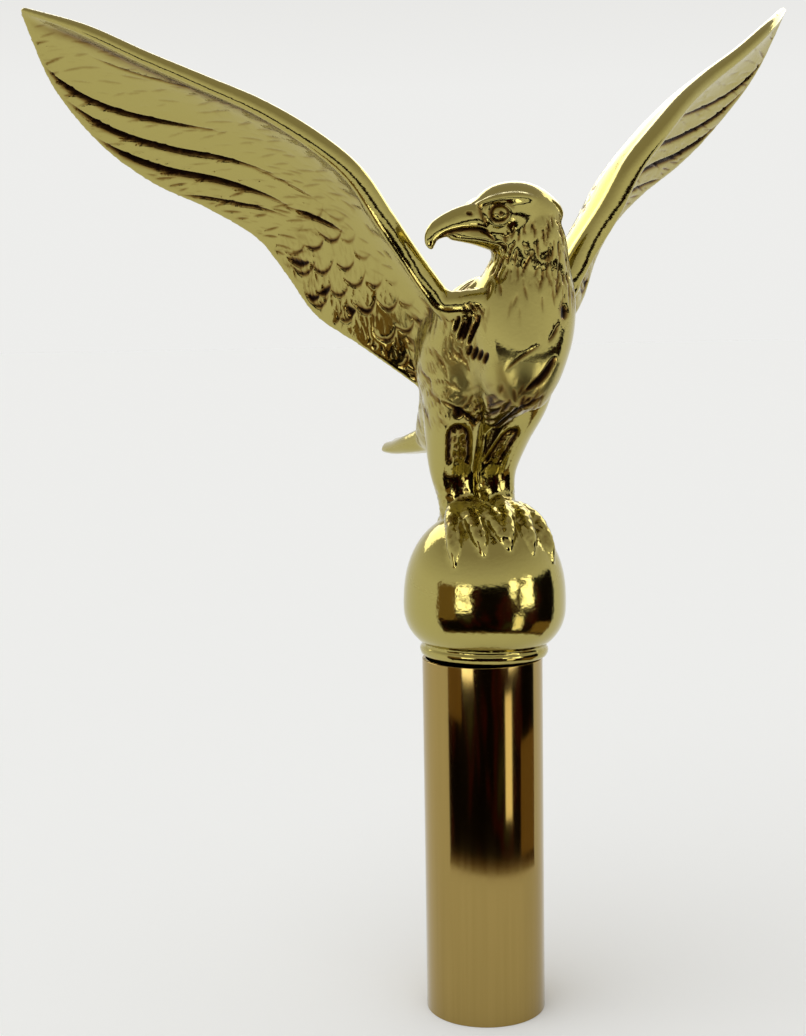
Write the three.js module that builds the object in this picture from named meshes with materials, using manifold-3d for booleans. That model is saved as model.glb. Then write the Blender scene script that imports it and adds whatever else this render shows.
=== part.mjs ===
// Eagle finial for a flagpole: a cast eagle on a ball, over a plain tube ferrule that slips on a pole.
// Millimetres, +Z up. The eagle faces -Y with its head turned to its right, -X.

import * as THREE from "three";
import { mergeVertices } from "three/addons/utils/BufferGeometryUtils.js";
import Module from "manifold-3d";

// Ferrule: a tube that is open below for the pole.
const POLE_DIAMETER = 25.4;
const POLE_CLEARANCE = 0.1; // all round
const FERRULE_WALL = 0.8;
const FERRULE_LENGTH = 81.8;
const RIM_BEVEL = 0.15; // on the tube's edges
const FERRULE_SEGMENTS = 36;

// Ball, collar and the spigot that holds the casting in the tube.
const COLLAR_GAP = 0.65; // between the tube's rim and the collar's lip
const COLLAR_HEIGHT = 2.4;
const COLLAR_SWELL = 0.9; // the bead's radius over the tube's
const COLLAR_SEAT = 0.35; // the lip's radius over the tube's
const CREASE_DEPTH = 0.9; // the groove between collar and ball
const BALL_DIAMETER = 36.6;
const BALL_UPPER = 21; // from the ball's widest ring to its top
const BALL_LOWER = 12.4; // the half height that its underside is drawn with
const BALL_FULLNESS = 2.35; // 2 is an ellipse, more is squarer at the shoulders
const SPIGOT_CLEARANCE = 0.5; // all round, inside the tube
const SPIGOT_LENGTH = 12;
const SPIGOT_CHAMFER = 0.6;
const BALL_SEGMENTS = 28;
const BALL_STEPS = 11; // from the crease up to its top
const CASTING_LEAN = 1.3; // degrees, the casting sits a little askew in the tube
const CASTING_SLIP = 0.4; // and this far to one side in it

// The eagle's height from its footing to its wing tips, and the unit that its proportions are given in.
const FIGURE_HEIGHT = 117;
const FIGURE_UNITS = 117;
const UNIT = FIGURE_HEIGHT / FIGURE_UNITS;
const FOOTING = 3.2; // the figure's base is this far below the top of the ball
const FIGURE_BACK = 2; // the figure stands this far behind the middle of the ball
const FIGURE_ASIDE = 1.8; // and this far to its right

// Feather relief on the solid, in the same unit.
const PRIMARY_STEP = 1.3;
const COVERT_STEP = 1;
const TUFT_STEP = 0.9;
const TAIL_STEP = 0.5;
const WING_RAISE = 3.8; // degrees that the left wing is set above the mean, and the right below

const boreRadius = POLE_DIAMETER / 2 + POLE_CLEARANCE;
const ferruleRadius = boreRadius + FERRULE_WALL;
const ballRadius = BALL_DIAMETER / 2;
const lipZ = FERRULE_LENGTH + COLLAR_GAP;
const creaseZ = lipZ + COLLAR_HEIGHT;
const creaseRadius = ferruleRadius + COLLAR_SWELL - CREASE_DEPTH;
const creaseShare = Math.pow(1 - (creaseRadius / ballRadius) ** BALL_FULLNESS, 1 / BALL_FULLNESS);
const ballZ = creaseZ + BALL_LOWER * creaseShare;
const ballTop = ballZ + BALL_UPPER;

const wasm = await Module();
wasm.setup();

// A point of the figure, given in its unit from its footing.
const at = (x, y, z) => new THREE.Vector3(
  x * UNIT - FIGURE_ASIDE, y * UNIT + FIGURE_BACK, ballTop - FOOTING + z * UNIT);
const clamp = THREE.MathUtils.clamp;
const smooth = THREE.MathUtils.smoothstep;
const mix = THREE.MathUtils.lerp;

// The value at t, from 0 to 1, of a smooth line through evenly spaced values.
function through(values, t) {
  const last = values.length - 1;
  const place = clamp(t, 0, 1) * last;
  const i = Math.min(Math.floor(place), last - 1);
  const f = place - i;
  const [b, c] = [values[i], values[i + 1]];
  const a = i > 0 ? values[i - 1] : 2 * b - c;
  const d = i < last - 1 ? values[i + 2] : 2 * c - b;
  return b + 0.5 * f * (c - a + f * (2 * a - 5 * b + 4 * c - d + f * (3 * (b - c) + d - a)));
}

// The same for a row of points.
function pointThrough(points, t) {
  const part = (axis) => through(points.map((p) => p[axis]), t);
  return new THREE.Vector3(part("x"), part("y"), part("z"));
}

// A closed skin over rings of equally many points, each end closed by a fan on the ring's middle.
function skin(rings) {
  const count = rings[0].length;
  const position = [];
  rings.forEach((ring) => ring.forEach((p) => position.push(p.x, p.y, p.z)));
  const index = [];
  for (let i = 0; i + 1 < rings.length; i++) {
    for (let j = 0; j < count; j++) {
      const a = i * count + j;
      const b = i * count + ((j + 1) % count);
      index.push(a, b, b + count, a, b + count, a + count);
    }
  }
  const close = (ring, first, turned) => {
    const middle = ring.reduce((sum, p) => sum.add(p), new THREE.Vector3()).divideScalar(count);
    const centre = position.length / 3;
    position.push(middle.x, middle.y, middle.z);
    for (let j = 0; j < count; j++) {
      const a = first + j;
      const b = first + ((j + 1) % count);
      index.push(centre, turned ? b : a, turned ? a : b);
    }
  };
  close(rings[0], 0, true);
  close(rings[rings.length - 1], (rings.length - 1) * count, false);
  const geometry = new THREE.BufferGeometry();
  geometry.setAttribute("position", new THREE.Float32BufferAttribute(position, 3));
  geometry.setIndex(index);
  return geometry;
}

// A body along a line of stations, each { c: centre, a: half width, b: half depth }.
// side is the direction of the half width; relief(t, angle) lifts the surface.
function body(stations, { side = new THREE.Vector3(1, 0, 0), rings = 12, around = 16, relief } = {}) {
  const centres = stations.map((s) => s.c);
  const row = (key, t) => through(stations.map((s) => s[key]), t);
  const list = [];
  for (let i = 0; i <= rings; i++) {
    const t = i / rings;
    const centre = pointThrough(centres, t);
    const ahead = pointThrough(centres, Math.min(1, t + 0.01));
    const tangent = ahead.sub(pointThrough(centres, Math.max(0, t - 0.01))).normalize();
    const across = side.clone().addScaledVector(tangent, -side.dot(tangent)).normalize();
    const up = new THREE.Vector3().crossVectors(tangent, across);
    const ring = [];
    for (let j = 0; j < around; j++) {
      const angle = (2 * Math.PI * j) / around;
      const lift = relief ? relief(t, angle) : 0;
      const a = (row("a", t) + lift) * UNIT;
      const b = (row("b", t) + lift) * UNIT;
      const p = centre.clone();
      p.addScaledVector(across, a * Math.cos(angle)).addScaledVector(up, b * Math.sin(angle));
      ring.push(p);
    }
    list.push(ring);
  }
  return skin(list);
}

// An eyeball with half axes along x, y and z.
function eyeball(centre, half) {
  const geometry = new THREE.SphereGeometry(1, 10, 6);
  geometry.scale(half[0] * UNIT, half[1] * UNIT, half[2] * UNIT);
  geometry.translate(centre.x, centre.y, centre.z);
  return geometry;
}

function solid(geometry) {
  const bare = geometry.clone();
  bare.deleteAttribute("normal");
  bare.deleteAttribute("uv");
  const merged = mergeVertices(bare, 1e-4);
  return new wasm.Manifold(
    new wasm.Mesh({
      numProp: 3,
      vertProperties: new Float32Array(merged.attributes.position.array),
      triVerts: new Uint32Array(merged.index.array),
    }),
  );
}

function geometryOf(made) {
  const mesh = made.getMesh();
  const geometry = new THREE.BufferGeometry();
  const points = [];
  for (let i = 0; i < mesh.vertProperties.length; i += mesh.numProp) {
    points.push(...mesh.vertProperties.slice(i, i + 3));
  }
  geometry.setAttribute("position", new THREE.Float32BufferAttribute(points, 3));
  geometry.setIndex([...mesh.triVerts]);
  return geometry;
}

// The tube's wall as a closed outline, turned about its axis.
function ferruleGeometry() {
  const r = RIM_BEVEL;
  const [inner, outer] = [boreRadius, ferruleRadius];
  const outline = [
    [inner, r], [inner + r, 0], [outer - r, 0], [outer, r],
    [outer, FERRULE_LENGTH - r], [outer - r, FERRULE_LENGTH],
    [inner + r, FERRULE_LENGTH], [inner, FERRULE_LENGTH - r], [inner, r],
  ].map(([x, y]) => new THREE.Vector2(x, y));
  return new THREE.LatheGeometry(outline, FERRULE_SEGMENTS).rotateX(Math.PI / 2);
}

// Spigot, collar and ball turned as one, from the axis below to the axis above.
function standGeometry() {
  const spigot = boreRadius - SPIGOT_CLEARANCE;
  const lip = ferruleRadius + COLLAR_SEAT;
  const bead = ferruleRadius + COLLAR_SWELL;
  const outline = [
    [0, lipZ - SPIGOT_LENGTH], [spigot - SPIGOT_CHAMFER, lipZ - SPIGOT_LENGTH],
    [spigot, lipZ - SPIGOT_LENGTH + SPIGOT_CHAMFER],
    [spigot, lipZ], [lip, lipZ], [mix(lip, bead, 0.7), lipZ + COLLAR_HEIGHT * 0.25],
    [bead, lipZ + COLLAR_HEIGHT * 0.6], [mix(bead, creaseRadius, 0.4), lipZ + COLLAR_HEIGHT * 0.88],
    [creaseRadius, creaseZ],
  ];
  // The ball, from the crease up, as a full curve that is flatter below than above.
  const lower = -Math.asin(creaseShare ** (BALL_FULLNESS / 2));
  for (let i = 1; i <= BALL_STEPS; i++) {
    const angle = mix(lower, Math.PI / 2, i / BALL_STEPS);
    const [c, sn] = [Math.cos(angle), Math.sin(angle)];
    const height = Math.pow(Math.abs(sn), 2 / BALL_FULLNESS) * (sn < 0 ? -BALL_LOWER : BALL_UPPER);
    outline.push([i === BALL_STEPS ? 0 : ballRadius * Math.pow(c, 2 / BALL_FULLNESS), ballZ + height]);
  }
  return new THREE.LatheGeometry(outline.map(([x, y]) => new THREE.Vector2(x, y)), BALL_SEGMENTS)
    .rotateX(Math.PI / 2);
}

// Tail root, belly, breast and neck.
const TORSO = [
  { c: at(0, 22, 16.5), a: 6.5, b: 2.6 },
  { c: at(0, 13, 20.5), a: 10, b: 6 },
  { c: at(0.8, 2.5, 28), a: 13.4, b: 10 },
  { c: at(1.2, -5, 37), a: 17, b: 12.5 },
  { c: at(2, -12.4, 44), a: 15.6, b: 11.2 },
  { c: at(4.9, -18.6, 50), a: 10, b: 8.4 },
  { c: at(4.3, -20.6, 56), a: 8.4, b: 8.2 },
  { c: at(3.4, -21.5, 62), a: 7.8, b: 7.4 },
  { c: at(2, -21.5, 67), a: 6, b: 6 },
];
// The breast, fullest low down, from where it turns under to a point between the thighs.
const BREAST = [
  { c: at(4.3, -20.2, 57), a: 8.3, b: 8.4 },
  { c: at(3.9, -19.4, 51), a: 10.7, b: 10.8 },
  { c: at(3, -18.2, 45), a: 11.6, b: 13.2 },
  { c: at(2.2, -17, 40), a: 11, b: 15.2 },
  { c: at(1.4, -15.6, 36.4), a: 9.8, b: 15.8 },
  { c: at(0.8, -13.8, 33.4), a: 8, b: 14.2 },
  { c: at(0.3, -11.6, 29), a: 5.6, b: 10.4 },
  { c: at(-0.3, -9.4, 23.5), a: 2.2, b: 4.4 },
];
// The roll that carries a wing's leading edge on to the foot of the neck.
const shoulderRoll = (hand) => [
  { c: at(hand * 16.4, -15.4, 53 + hand * 0.8), a: 2.3, b: 2.3 },
  { c: at(hand * 13, -15.8, 49.4 + hand * 0.8), a: 2.9, b: 2.9 },
  { c: at(hand * 9.4, -18.4, 48.4), a: 3.1, b: 3.1 },
  { c: at(hand * 5, -20.8, 48.8), a: 3, b: 3 },
  { c: at(hand * -1, -22, 50), a: 2.6, b: 2.6 },
];
// Tufts stand out in staggered rows, deep on the neck and fading down the breast.
const TORSO_RINGS = 30;
const TORSO_AROUND = 20;
function tufts(t, angle) {
  const ring = Math.round(t * TORSO_RINGS);
  const column = Math.round((angle / (2 * Math.PI)) * TORSO_AROUND);
  const row = Math.floor(ring / 3);
  const tip = 1 - (ring % 3) / 2;
  const round = 0.5 + 0.5 * Math.cos((Math.PI * (column + (row % 2 ? 2 : 0))) / 2);
  const share = smooth(t, 0.25, 0.65) * (1 - smooth(t, 0.86, 0.92));
  return TUFT_STEP * share * (tip * round - 0.3);
}

const HEAD_TURN = THREE.MathUtils.degToRad(80); // from straight ahead to its right
const headCentre = at(1.4, -21, 66.6);
const ahead = new THREE.Vector3(-Math.sin(HEAD_TURN), -Math.cos(HEAD_TURN), 0);
const beside = new THREE.Vector3(-ahead.y, ahead.x, 0);
// A point of the head: forward along the face, to its left, and up.
const onHead = (forward, left, up) => headCentre.clone()
  .addScaledVector(ahead, forward * UNIT)
  .addScaledVector(beside, left * UNIT)
  .add(new THREE.Vector3(0, 0, up * UNIT));
function headSolids() {
  const skull = body([
    { c: onHead(-7.6, 0, -2.2), a: 3.4, b: 3.4 },
    { c: onHead(-5.8, 0, -1), a: 6, b: 5.6 },
    { c: onHead(-0.6, 0, 0.3), a: 7, b: 6.9 },
    { c: onHead(4.6, 0, 0.4), a: 6.2, b: 6.2 },
    { c: onHead(9, 0, -0.6), a: 4.2, b: 4.1 },
    { c: onHead(11, 0, -1.2), a: 3, b: 3.2 },
  ], { side: beside, rings: 9, around: 14 });
  const beak = body([
    { c: onHead(8, 0, -0.8), a: 3.4, b: 3.7 },
    { c: onHead(12.4, 0, -1.1), a: 2.7, b: 3.1 },
    { c: onHead(16.6, 0, -2.2), a: 2.3, b: 2.5 },
    { c: onHead(19.8, 0, -3.8), a: 1.8, b: 1.9 },
    { c: onHead(20.9, 0, -6), a: 1.2, b: 1.3 },
    { c: onHead(20.4, 0, -7.6), a: 0.4, b: 0.5 },
  ], { side: beside, rings: 10, around: 10 });
  const jaw = body([
    { c: onHead(4, 0, -5.4), a: 4, b: 2.4 },
    { c: onHead(10.5, 0, -4.8), a: 2.4, b: 1.4 },
    { c: onHead(16.4, 0, -4.7), a: 1.2, b: 0.7 },
  ], { side: beside, rings: 5, around: 10 });
  const parts = [skull, beak, jaw];
  for (const hand of [-1, 1]) {
    parts.push(body([
      { c: onHead(11.6, hand * 2.4, 1.8), a: 0.5, b: 0.5 },
      { c: onHead(7.8, hand * 4.4, 3), a: 1.1, b: 1 },
      { c: onHead(3, hand * 5.8, 3.4), a: 1.2, b: 1.1 },
      { c: onHead(-2, hand * 6, 2.8), a: 0.5, b: 0.5 },
    ], { side: beside, rings: 6, around: 8 }));
    parts.push(eyeball(onHead(7.6, hand * 4.1, 0), [1.7, 1.9, 1.7]));
  }
  return parts;
}

// A leg from the thigh down into the ball.
function legGeometry(hand) {
  return body([
    { c: at(hand * 7.6 + 1, -7.6, 37), a: 6.8, b: 9.8 },
    { c: at(hand * 7.1 + 0.8, -4.6, 30), a: 7.2, b: 9.2 },
    { c: at(hand * 5.7 + 0.4, -0.4, 22), a: 6.7, b: 8 },
    { c: at(hand * 4.6 + 0.4, 2.7, 13), a: 5.7, b: 5.8 },
    { c: at(hand * 4.3 + 1.2, 2.6, 6), a: 4.7, b: 4.8 },
    { c: at(hand * 4.4 + 1.4, 1.6, 1.5), a: 4.4, b: 5 },
    { c: at(hand * 4.4 + 1.6, 1, -3), a: 4.4, b: 5 },
  ], { rings: 11, around: 12 });
}
// Each front toe's place beside the middle of its foot, and its heading, outwards.
const TOES = [[1.6, 28], [-0.3, 8], [-2.3, -7]];
const FOOT_SPREAD = 4.4;
// A toe runs over the ball from the ankle to its claw, in a direction given in degrees from straight ahead.
function toeGeometry(hand, aside, heading, reach) {
  const turn = THREE.MathUtils.degToRad(heading * hand);
  const start = new THREE.Vector2(hand * (FOOT_SPREAD + aside), 0);
  const way = new THREE.Vector2(Math.sin(turn), -Math.cos(turn));
  const place = (run, over) => {
    const flat = start.clone().addScaledVector(way, run).multiplyScalar(UNIT);
    const polar = Math.min(flat.length() / ballRadius, 1.35);
    const facing = Math.atan2(flat.y, flat.x);
    const out = Math.pow(Math.sin(polar), 2 / BALL_FULLNESS) * ballRadius + over * UNIT * Math.sin(polar);
    const rise = Math.pow(Math.cos(polar), 2 / BALL_FULLNESS) * BALL_UPPER + over * UNIT * Math.cos(polar);
    return new THREE.Vector3(out * Math.cos(facing), out * Math.sin(facing), ballZ + rise);
  };
  return body([
    { c: place(0, 1.2), a: 2.1, b: 2 },
    { c: place(reach * 0.3, 0.9), a: 2.1, b: 1.9 },
    { c: place(reach * 0.55, 0.5), a: 1.9, b: 1.7 },
    { c: place(reach * 0.78, 0.3), a: 1.6, b: 1.3 },
    { c: place(reach * 0.9, 0.1), a: 1, b: 0.9 },
    { c: place(reach * 1.08, -0.3), a: 0.4, b: 0.5 },
  ], { side: new THREE.Vector3(-way.y, way.x, 0), rings: 7, around: 7 });
}

// Tail fan: its root and tip behind the footing, and its feathers, which are scalloped at the tip.
const TAIL_ROOT = 12;
const TAIL_TIP = 40;
const TAIL_FEATHERS = 7;
const TAIL_HALF = [6, 8, 10, 11, 11.5];
const TAIL_THICK = [4.4, 3.4, 2.6, 1.9, 1.2];
const TAIL_HEIGHT = [21, 19, 17.5, 16.4, 16];
function tailGeometry() {
  const rings = [];
  const spans = 7;
  const across = 14;
  for (let i = 0; i <= spans; i++) {
    const t = i / spans;
    const ring = [];
    for (let j = 0; j < 2 * across; j++) {
      const top = j < across;
      const s = top ? 1 - (2 * j) / across : -1 + (2 * (j - across)) / across;
      const half = through(TAIL_HALF, t);
      const rib = Math.abs(Math.sin((TAIL_FEATHERS * Math.PI * (s + 1)) / 2));
      const scallop = 1.6 * rib - 3.4 * s * s;
      const edge = Math.sqrt(Math.max(0.04, 1 - s ** 4));
      const thick = (through(TAIL_THICK, t) + TAIL_STEP * rib) * edge;
      const y = mix(TAIL_ROOT, TAIL_TIP, t) + scallop * smooth(t, 0.5, 1);
      const z = through(TAIL_HEIGHT, t) - 1.5 * s * s + (top ? thick : -thick);
      ring.push(at(half * s, y, z));
    }
    rings.push(ring.reverse());
  }
  return skin(rings);
}

// Leading and trailing edge at even shares of the span, for the eagle's left wing.
const LEAD = [
  at(4, -13, 43), at(12.6, -17.5, 51), at(19, -18, 60), at(25, -19.5, 68.5), at(31, -19.5, 77.5),
  at(39, -17, 85), at(48, -11.5, 92), at(58, -5, 98), at(69, 0.5, 104), at(80.5, 7.5, 111),
  at(91.5, 19.5, 117),
];
const TRAIL = [
  at(5, 4, 24), at(15, 6, 33), at(24.2, 9.5, 40.8), at(32.4, 16.5, 48.3), at(38, 20, 58.3),
  at(44, 21, 66.6), at(54, 25, 73.8), at(65, 29, 80), at(76, 30, 89), at(85.6, 26.5, 101),
  at(91.5, 21, 115),
];
// The rolled leading edge's radius and the bow of the wing, at even shares of the span.
const NOSE = [3.2, 3.2, 2.9, 2.7, 2.5, 2.3, 2.1, 1.9, 1.7, 1.5, 0.9];
const CAMBER = [3, 4, 5, 5.5, 5, 4.5, 4, 3.4, 2.6, 1.6, 0.2];
const RIM = 0.8; // half the trailing edge's thickness
const WING_RINGS = 30;
const NOSE_STEPS = 3;
const WRIST = 0.42; // share of the span where the primaries spring from
// Shares of the chord at which the laps between feathers leave the wrist, and half a lap's width.
const LAPS = [0.13, 0.37, 0.6, 0.76, 0.88];
const LAP_HALF = 0.014;

// The samples across the chord: just before and just after each lap, with how far the feather stands out.
const acrossChord = [{ k: 0.07, lift: 0.3 }];
LAPS.forEach((k) => acrossChord.push({ k: k - LAP_HALF, lift: 1 }, { k: k + LAP_HALF, lift: 0 }));
acrossChord.push({ k: 1, lift: 0.5 });

// The share of the chord that a feather line has reached at share t of the span.
function feather(k, t, order) {
  const run = Math.max(0, t - WRIST) / (0.64 - 0.36 * k);
  const scallop = 0.022 * Math.sin(t * WING_RINGS * Math.PI * 0.5) * (1 - smooth(t, WRIST - 0.08, WRIST));
  const free = k + (1 - k) * run + (k < 1 ? scallop * smooth(k, 0.1, 0.3) : 0);
  return Math.min(free, 1 - 0.012 * (acrossChord.length - 1 - order));
}

function wingGeometry(hand) {
  const raise = THREE.MathUtils.degToRad(WING_RAISE);
  const shoulder = at(0, 0, 43);
  const up = new THREE.Vector3(0, 1, 0);
  const rings = [];
  for (let i = 0; i <= WING_RINGS; i++) {
    const t = i / WING_RINGS;
    const lead = pointThrough(LEAD, t);
    const trail = pointThrough(TRAIL, t);
    const step = 0.02;
    const along = pointThrough(LEAD, Math.min(1, t + step)).add(pointThrough(TRAIL, Math.min(1, t + step)))
      .sub(pointThrough(LEAD, Math.max(0, t - step))).sub(pointThrough(TRAIL, Math.max(0, t - step)))
      .normalize();
    const chord = trail.clone().sub(lead);
    const length = chord.length();
    chord.normalize();
    const dorsal = new THREE.Vector3().crossVectors(along, chord).normalize();
    const nose = Math.min(through(NOSE, t) * UNIT, length * 0.3);
    const rim = Math.min(RIM * UNIT, nose);
    const camber = through(CAMBER, t) * UNIT;
    const surface = ({ k, lift }, order, over) => {
      const c = feather(k, t, order);
      const step = mix(COVERT_STEP, PRIMARY_STEP, smooth(t, WRIST - 0.1, WRIST + 0.1));
      const fade = smooth(t, 0.06, 0.2) * (1 - smooth(t, 0.9, 1)) * (1 - smooth(c, 0.9, 1));
      const relief = (lift - 0.5) * step * UNIT * fade;
      const bow = camber * Math.sin(Math.PI * Math.pow(c, 0.75));
      const thick = over
        ? mix(rim, nose, Math.pow(1 - c, 2.2))
        : rim + (nose - rim) * Math.exp(-((c / 0.1) ** 2));
      return lead.clone().addScaledVector(chord, nose + c * (length - nose - rim))
        .addScaledVector(dorsal, bow + (over ? thick + relief : -thick - relief));
    };
    const ring = [];
    // Over the top from the trailing edge, round the nose, and back below.
    for (let j = acrossChord.length - 1; j >= 0; j--) ring.push(surface(acrossChord[j], j, true));
    for (let k = 0; k <= NOSE_STEPS; k++) {
      const angle = Math.PI / 2 + (Math.PI * k) / NOSE_STEPS;
      ring.push(lead.clone().addScaledVector(chord, nose + nose * Math.cos(angle))
        .addScaledVector(dorsal, nose * Math.sin(angle)));
    }
    acrossChord.forEach((sample, j) => ring.push(surface(sample, j, false)));
    for (const p of ring) {
      if (hand < 0) p.x = -2 * FIGURE_ASIDE - p.x;
      p.sub(shoulder).applyAxisAngle(up, -raise).add(shoulder);
    }
    rings.push(hand > 0 ? ring : ring.reverse());
  }
  return skin(rings);
}

function castingGeometry() {
  const pieces = [
    standGeometry(),
    body(TORSO, { rings: TORSO_RINGS, around: TORSO_AROUND, relief: tufts }),
    body(BREAST, { rings: 9, around: 14 }),
    ...headSolids(),
    tailGeometry(),
  ];
  for (const hand of [-1, 1]) {
    pieces.push(wingGeometry(hand), legGeometry(hand));
    pieces.push(body(shoulderRoll(hand), { side: new THREE.Vector3(0, 1, 0), rings: 6, around: 8 }));
    for (const [aside, heading] of TOES) pieces.push(toeGeometry(hand, aside, heading, 17));
    pieces.push(toeGeometry(hand, 0, 172, 15));
  }
  return geometryOf(pieces.map(solid).reduce((whole, piece) => whole.add(piece)));
}

const castGold = new THREE.MeshStandardMaterial({ color: 0xd8c56a, roughness: 0.16, metalness: 1 });
const tubeBrass = new THREE.MeshStandardMaterial({ color: 0xb98f45, roughness: 0.2, metalness: 1 });

const finial = new THREE.Group();
const ferrule = new THREE.Mesh(ferruleGeometry(), tubeBrass);
ferrule.name = "ferrule";
const casting = new THREE.Mesh(castingGeometry().translate(0, 0, -FERRULE_LENGTH), castGold);
casting.name = "eagle_casting";
casting.position.set(CASTING_SLIP, 0, FERRULE_LENGTH);
casting.rotation.y = THREE.MathUtils.degToRad(CASTING_LEAN);
finial.add(ferrule, casting);
// The origin is the middle of the whole object's box, at the ferrule's open end.
const middle = new THREE.Box3().setFromObject(finial, true).getCenter(new THREE.Vector3());
finial.position.set(-middle.x, -middle.y, 0);

export default finial;
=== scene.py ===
# Eagle finial for a flagpole: the casting with its carved feathers, and the brass tube below it.
# The forms follow the solids, in millimetres from the ferrule's axis, and go to the row frame last.
import math

import bpy
import numpy as np
from mathutils import Matrix, Vector
from mathutils.kdtree import KDTree


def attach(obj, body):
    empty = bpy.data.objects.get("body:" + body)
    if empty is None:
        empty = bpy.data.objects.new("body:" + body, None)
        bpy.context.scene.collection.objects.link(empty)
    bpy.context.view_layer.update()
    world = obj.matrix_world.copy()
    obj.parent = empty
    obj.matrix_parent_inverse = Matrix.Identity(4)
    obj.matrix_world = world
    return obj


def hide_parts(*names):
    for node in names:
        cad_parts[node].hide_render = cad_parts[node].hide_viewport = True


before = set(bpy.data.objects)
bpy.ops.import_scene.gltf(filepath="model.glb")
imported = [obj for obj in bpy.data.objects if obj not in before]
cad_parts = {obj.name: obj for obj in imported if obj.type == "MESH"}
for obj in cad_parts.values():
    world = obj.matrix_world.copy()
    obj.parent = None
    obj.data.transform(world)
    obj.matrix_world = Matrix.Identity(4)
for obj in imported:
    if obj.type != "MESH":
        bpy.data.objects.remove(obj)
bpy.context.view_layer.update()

# Ferrule, collar, ball and spigot, mm
BORE_RADIUS = 12.8
TUBE_RADIUS = 13.6
TUBE_LENGTH = 81.8
TUBE_EDGE = 0.15
LIP_Z = 82.45
COLLAR_HEIGHT = 2.4
COLLAR_SWELL = 0.9
COLLAR_SEAT = 0.35
CREASE_DEPTH = 0.9
BALL_RADIUS = 18.3
BALL_UPPER = 21
BALL_LOWER = 12.4
BALL_FULLNESS = 2.35
SPIGOT_RADIUS = 12.3
SPIGOT_LENGTH = 12
CASTING_LEAN = 1.3  # degrees
CASTING_SLIP = 0.4
ROW_SHIFT = (2.912, -7.181, 0)  # from the ferrule's axis to the row frame

# Figure: how far it is sunk in the ball, and its place on the top, mm
FOOTING = 3.2
FIGURE_BACK = 2
FIGURE_ASIDE = 1.8
HEAD_TURN = 80  # degrees, to its right
WING_RAISE = 3.8  # degrees
EYEBALL = (1.7, 1.9, 1.7)  # half axes

# How fine the casting is made
VOXEL = 0.34
FILLET_PASSES = 10
ROOT_PASSES = 160
TRIANGLES = 196000
RECESS_DEPTH = 0.5  # depth in mm at which a cut's painted shade is darkest
SATIN_ROUGHNESS = 0.24  # added where the metal is satin

crease_z = LIP_Z + COLLAR_HEIGHT
crease_radius = TUBE_RADIUS + COLLAR_SWELL - CREASE_DEPTH
crease_share = (1 - (crease_radius / BALL_RADIUS) ** BALL_FULLNESS) ** (1 / BALL_FULLNESS)
ball_z = crease_z + BALL_LOWER * crease_share
ball_top = ball_z + BALL_UPPER


def at(x, y, z):
    """A point of the figure, mm from its footing."""
    return np.array([x - FIGURE_ASIDE, y + FIGURE_BACK, ball_top - FOOTING + z], float)


def mix(a, b, share):
    """The value that lies that share of the way from a to b."""
    return a + (b - a) * share


def smooth(x, low, high):
    """Soft step of x, from 0 at low to 1 at high."""
    share = np.clip((x - low) / (high - low), 0, 1)
    return share * share * (3 - 2 * share)


def through(values, t):
    """Smooth line through evenly spaced values or points, at shares t."""
    values = np.asarray(values, float)
    t = np.clip(np.atleast_1d(np.asarray(t, float)), 0, 1)
    last = len(values) - 1
    i = np.minimum((t * last).astype(int), last - 1)
    f = t * last - i
    if values.ndim == 2:
        f = f[:, None]
    row = np.concatenate([[2 * values[0] - values[1]], values, [2 * values[-1] - values[-2]]])
    a, b, c, d = row[i], row[i + 1], row[i + 2], row[i + 3]
    return b + 0.5 * f * (c - a + f * (2 * a - 5 * b + 4 * c - d + f * (3 * (b - c) + d - a)))


def skin(rings):
    """Closed skin over rings of equally many points."""
    rings = np.asarray(rings, float)
    count, around = rings.shape[:2]
    i, j = np.meshgrid(np.arange(count - 1), np.arange(around), indexing="ij")
    a = i * around + j
    b = i * around + (j + 1) % around
    faces = np.stack([a, b, b + around, a + around], -1).reshape(-1, 4).tolist()
    first, last = count * around, count * around + 1
    end = (count - 1) * around
    for k in range(around):
        n = (k + 1) % around
        faces.append([first, n, k])
        faces.append([last, end + k, end + n])
    points = np.concatenate([rings.reshape(-1, 3), [rings[0].mean(0)], [rings[-1].mean(0)]])
    return points, faces


def body(stations, side=(1, 0, 0), rings=60, around=48):
    """Rounded body along stations of (centre, half width, half depth)."""
    t = np.linspace(0, 1, rings)
    centres = [s[0] for s in stations]
    a = through([s[1] for s in stations], t)
    b = through([s[2] for s in stations], t)
    middle = through(centres, t)
    tangent = through(centres, np.minimum(1, t + 0.01)) - through(centres, np.maximum(0, t - 0.01))
    tangent /= np.linalg.norm(tangent, axis=1)[:, None]
    side = np.asarray(side, float)
    across = side - tangent * (tangent @ side)[:, None]
    across /= np.linalg.norm(across, axis=1)[:, None]
    up = np.cross(tangent, across)
    angle = np.linspace(0, 2 * math.pi, around, endpoint=False)
    return skin(
        middle[:, None]
        + across[:, None] * (a[:, None] * np.cos(angle))[..., None]
        + up[:, None] * (b[:, None] * np.sin(angle))[..., None]
    )


def eyeball(centre, half, detail=24):
    """Egg-shaped ball of the given half axes."""
    angle = np.linspace(0, 2 * math.pi, detail, endpoint=False)
    fall = np.linspace(-math.pi / 2, math.pi / 2, detail // 2 + 1)[1:-1]
    rings = np.stack(
        [
            np.cos(fall)[:, None] * np.cos(angle),
            np.cos(fall)[:, None] * np.sin(angle),
            np.sin(fall)[:, None] * np.ones(detail),
        ],
        -1,
    )
    return skin(centre + rings * np.asarray(half, float))


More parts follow.
